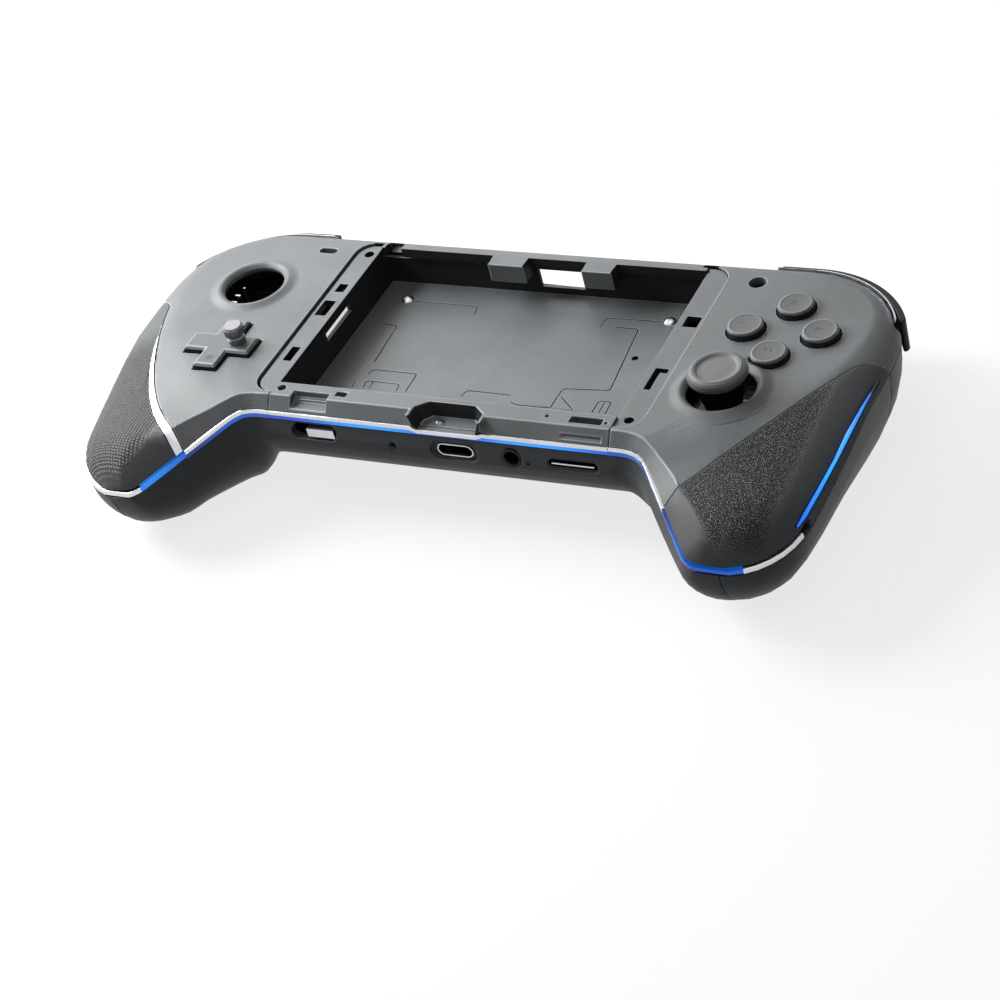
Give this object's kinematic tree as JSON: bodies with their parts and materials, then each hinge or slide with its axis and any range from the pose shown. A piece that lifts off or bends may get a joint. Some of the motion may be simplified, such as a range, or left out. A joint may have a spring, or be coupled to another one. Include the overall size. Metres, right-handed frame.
{
  "type": "game console shell",
  "caption": "Handheld game console shell with two moulded grips, an open screen bay, a direction pad, face buttons, one thumb stick, bumpers, triggers and ports along the front.",
  "frame": {"origin": "centre of the bounding box, at the level the handles rest on", "axes": "+X to the right of someone holding it, +Y away from them towards the shoulder buttons, +Z out of the face with the screen bay"},
  "size_m": [0.184, 0.096, 0.035],
  "materials": {
    "plate": "fine-grained matte",
    "shell_black": "smooth satin",
    "grip_rubber": "textured soft-touch",
    "bright_trim": "polished",
    "light_guide": "clear, lit blue",
    "gloss_black": "polished",
    "control_grey": "satin",
    "stick_rubber": "knurled",
    "inner_white": "plain",
    "membrane": "soft",
    "board_green": "printed circuit board",
    "steel": "plain"
  },
  "bodies": {
    "shell": {"front_cover": "plate", "front_rail": "plate", "bay_frame": "plate", "rear_shell": "shell_black", "port_panel": "shell_black", "left_grip": "grip_rubber", "right_grip": "grip_rubber", "left_rear_grip": "shell_black", "right_rear_grip": "shell_black", "left_seam_trim": "bright_trim", "front_trim": "bright_trim", "front_light": "light_guide", "left_knee_trim": "bright_trim", "right_knee_trim": "bright_trim", "left_knee_light": "light_guide", "right_knee_light": "light_guide", "left_tip_light": "light_guide", "right_tip_light": "light_guide", "left_tip_trim": "bright_trim", "right_tip_trim": "bright_trim", "right_light_bar": "light_guide", "left_bumper_trim": "bright_trim", "right_bumper_trim": "bright_trim", "left_bumper_pin": "steel", "right_bumper_pin": "steel", "left_trigger_pin": "steel", "right_trigger_pin": "steel", "pad_board": "board_green", "button_board": "board_green", "board_screws": "steel", "pad_membrane": "membrane", "button_membrane": "membrane", "stick_board": "board_green", "stick_housing": "steel", "stick_contact": "steel", "port_board": "board_green", "port_screws": "steel", "charging_socket": "steel", "headphone_jack": "gloss_black", "card_reader": "steel", "switch_body": "gloss_black", "side_contact": "inner_white", "floor_screws": "steel", "notch_screw": "steel", "rear_screws": "steel"},
    "pad_ball": {"pad_pivot": "steel"},
    "pad": {"direction_pad": "control_grey", "thumb_post": "bright_trim"},
    "rear_button": {"rear_button": "control_grey"},
    "front_button": {"front_button": "control_grey"},
    "inner_button": {"inner_button": "control_grey"},
    "outer_button": {"outer_button": "control_grey"},
    "yoke": {"stick_yoke": "inner_white"},
    "stick": {"stick_shaft": "gloss_black", "stick_cap": "stick_rubber"},
    "left_bumper": {"left_bumper": "gloss_black"},
    "right_bumper": {"right_bumper": "gloss_black"},
    "left_trigger": {"left_trigger": "gloss_black"},
    "right_trigger": {"right_trigger": "gloss_black"},
    "slider": {"switch_slider": "steel"}
  },
  "joints": [
    {"name": "pad_tilt_fore", "type": "hinge", "parent": "shell", "child": "pad_ball", "pos_m": [-0.063, -0.00695, 0.0256], "axis": [1, 0, 0], "range_deg": [-3.2, 3.2], "stiffness_Nm_per_rad": 0.4},
    {"name": "pad_tilt_side", "type": "hinge", "parent": "pad_ball", "child": "pad", "pos_m": [-0.063, -0.00695, 0.0256], "axis": [0, 1, 0], "range_deg": [-3.2, 3.2], "stiffness_Nm_per_rad": 0.4},
    {"name": "rear_press", "type": "slide", "parent": "shell", "child": "rear_button", "axis": [0, 0, -1], "range_m": [0, 0.0011], "stiffness_N_per_m": 600, "springref_m": -0.0003},
    {"name": "front_press", "type": "slide", "parent": "shell", "child": "front_button", "axis": [0, 0, -1], "range_m": [0, 0.0011], "stiffness_N_per_m": 600, "springref_m": -0.0003},
    {"name": "inner_press", "type": "slide", "parent": "shell", "child": "inner_button", "axis": [0, 0, -1], "range_m": [0, 0.0011], "stiffness_N_per_m": 600, "springref_m": -0.0003},
    {"name": "outer_press", "type": "slide", "parent": "shell", "child": "outer_button", "axis": [0, 0, -1], "range_m": [0, 0.0011], "stiffness_N_per_m": 600, "springref_m": -0.0003},
    {"name": "stick_side", "type": "hinge", "parent": "shell", "child": "yoke", "pos_m": [0.0608, -0.00545, 0.0215], "axis": [1, 0, 0], "range_deg": [-12, 12], "stiffness_Nm_per_rad": 0.03},
    {"name": "stick_fore", "type": "hinge", "parent": "yoke", "child": "stick", "pos_m": [0.0608, -0.00545, 0.0215], "axis": [0, 1, 0], "range_deg": [-12, 12], "stiffness_Nm_per_rad": 0.03},
    {"name": "right_bumper_hinge", "type": "hinge", "parent": "shell", "child": "right_bumper", "pos_m": [0.0594, 0.03525, 0.022], "axis": [0, 0, -1], "range_deg": [0, 1.2], "stiffness_Nm_per_rad": 6},
    {"name": "left_bumper_hinge", "type": "hinge", "parent": "shell", "child": "left_bumper", "pos_m": [-0.0594, 0.03525, 0.022], "axis": [0, 0, 1], "range_deg": [0, 1.2], "stiffness_Nm_per_rad": 6},
    {"name": "right_trigger_hinge", "type": "hinge", "parent": "shell", "child": "right_trigger", "pos_m": [0.0714, 0.03105, 0.0156], "axis": [-1, 0, 0], "range_deg": [0, 12], "stiffness_Nm_per_rad": 0.25},
    {"name": "left_trigger_hinge", "type": "hinge", "parent": "shell", "child": "left_trigger", "pos_m": [-0.0714, 0.03105, 0.0156], "axis": [-1, 0, 0], "range_deg": [0, 12], "stiffness_Nm_per_rad": 0.25},
    {"name": "power_slide", "type": "slide", "parent": "shell", "child": "slider", "axis": [-1, 0, 0], "range_m": [0, 0.0034]}
  ]
}
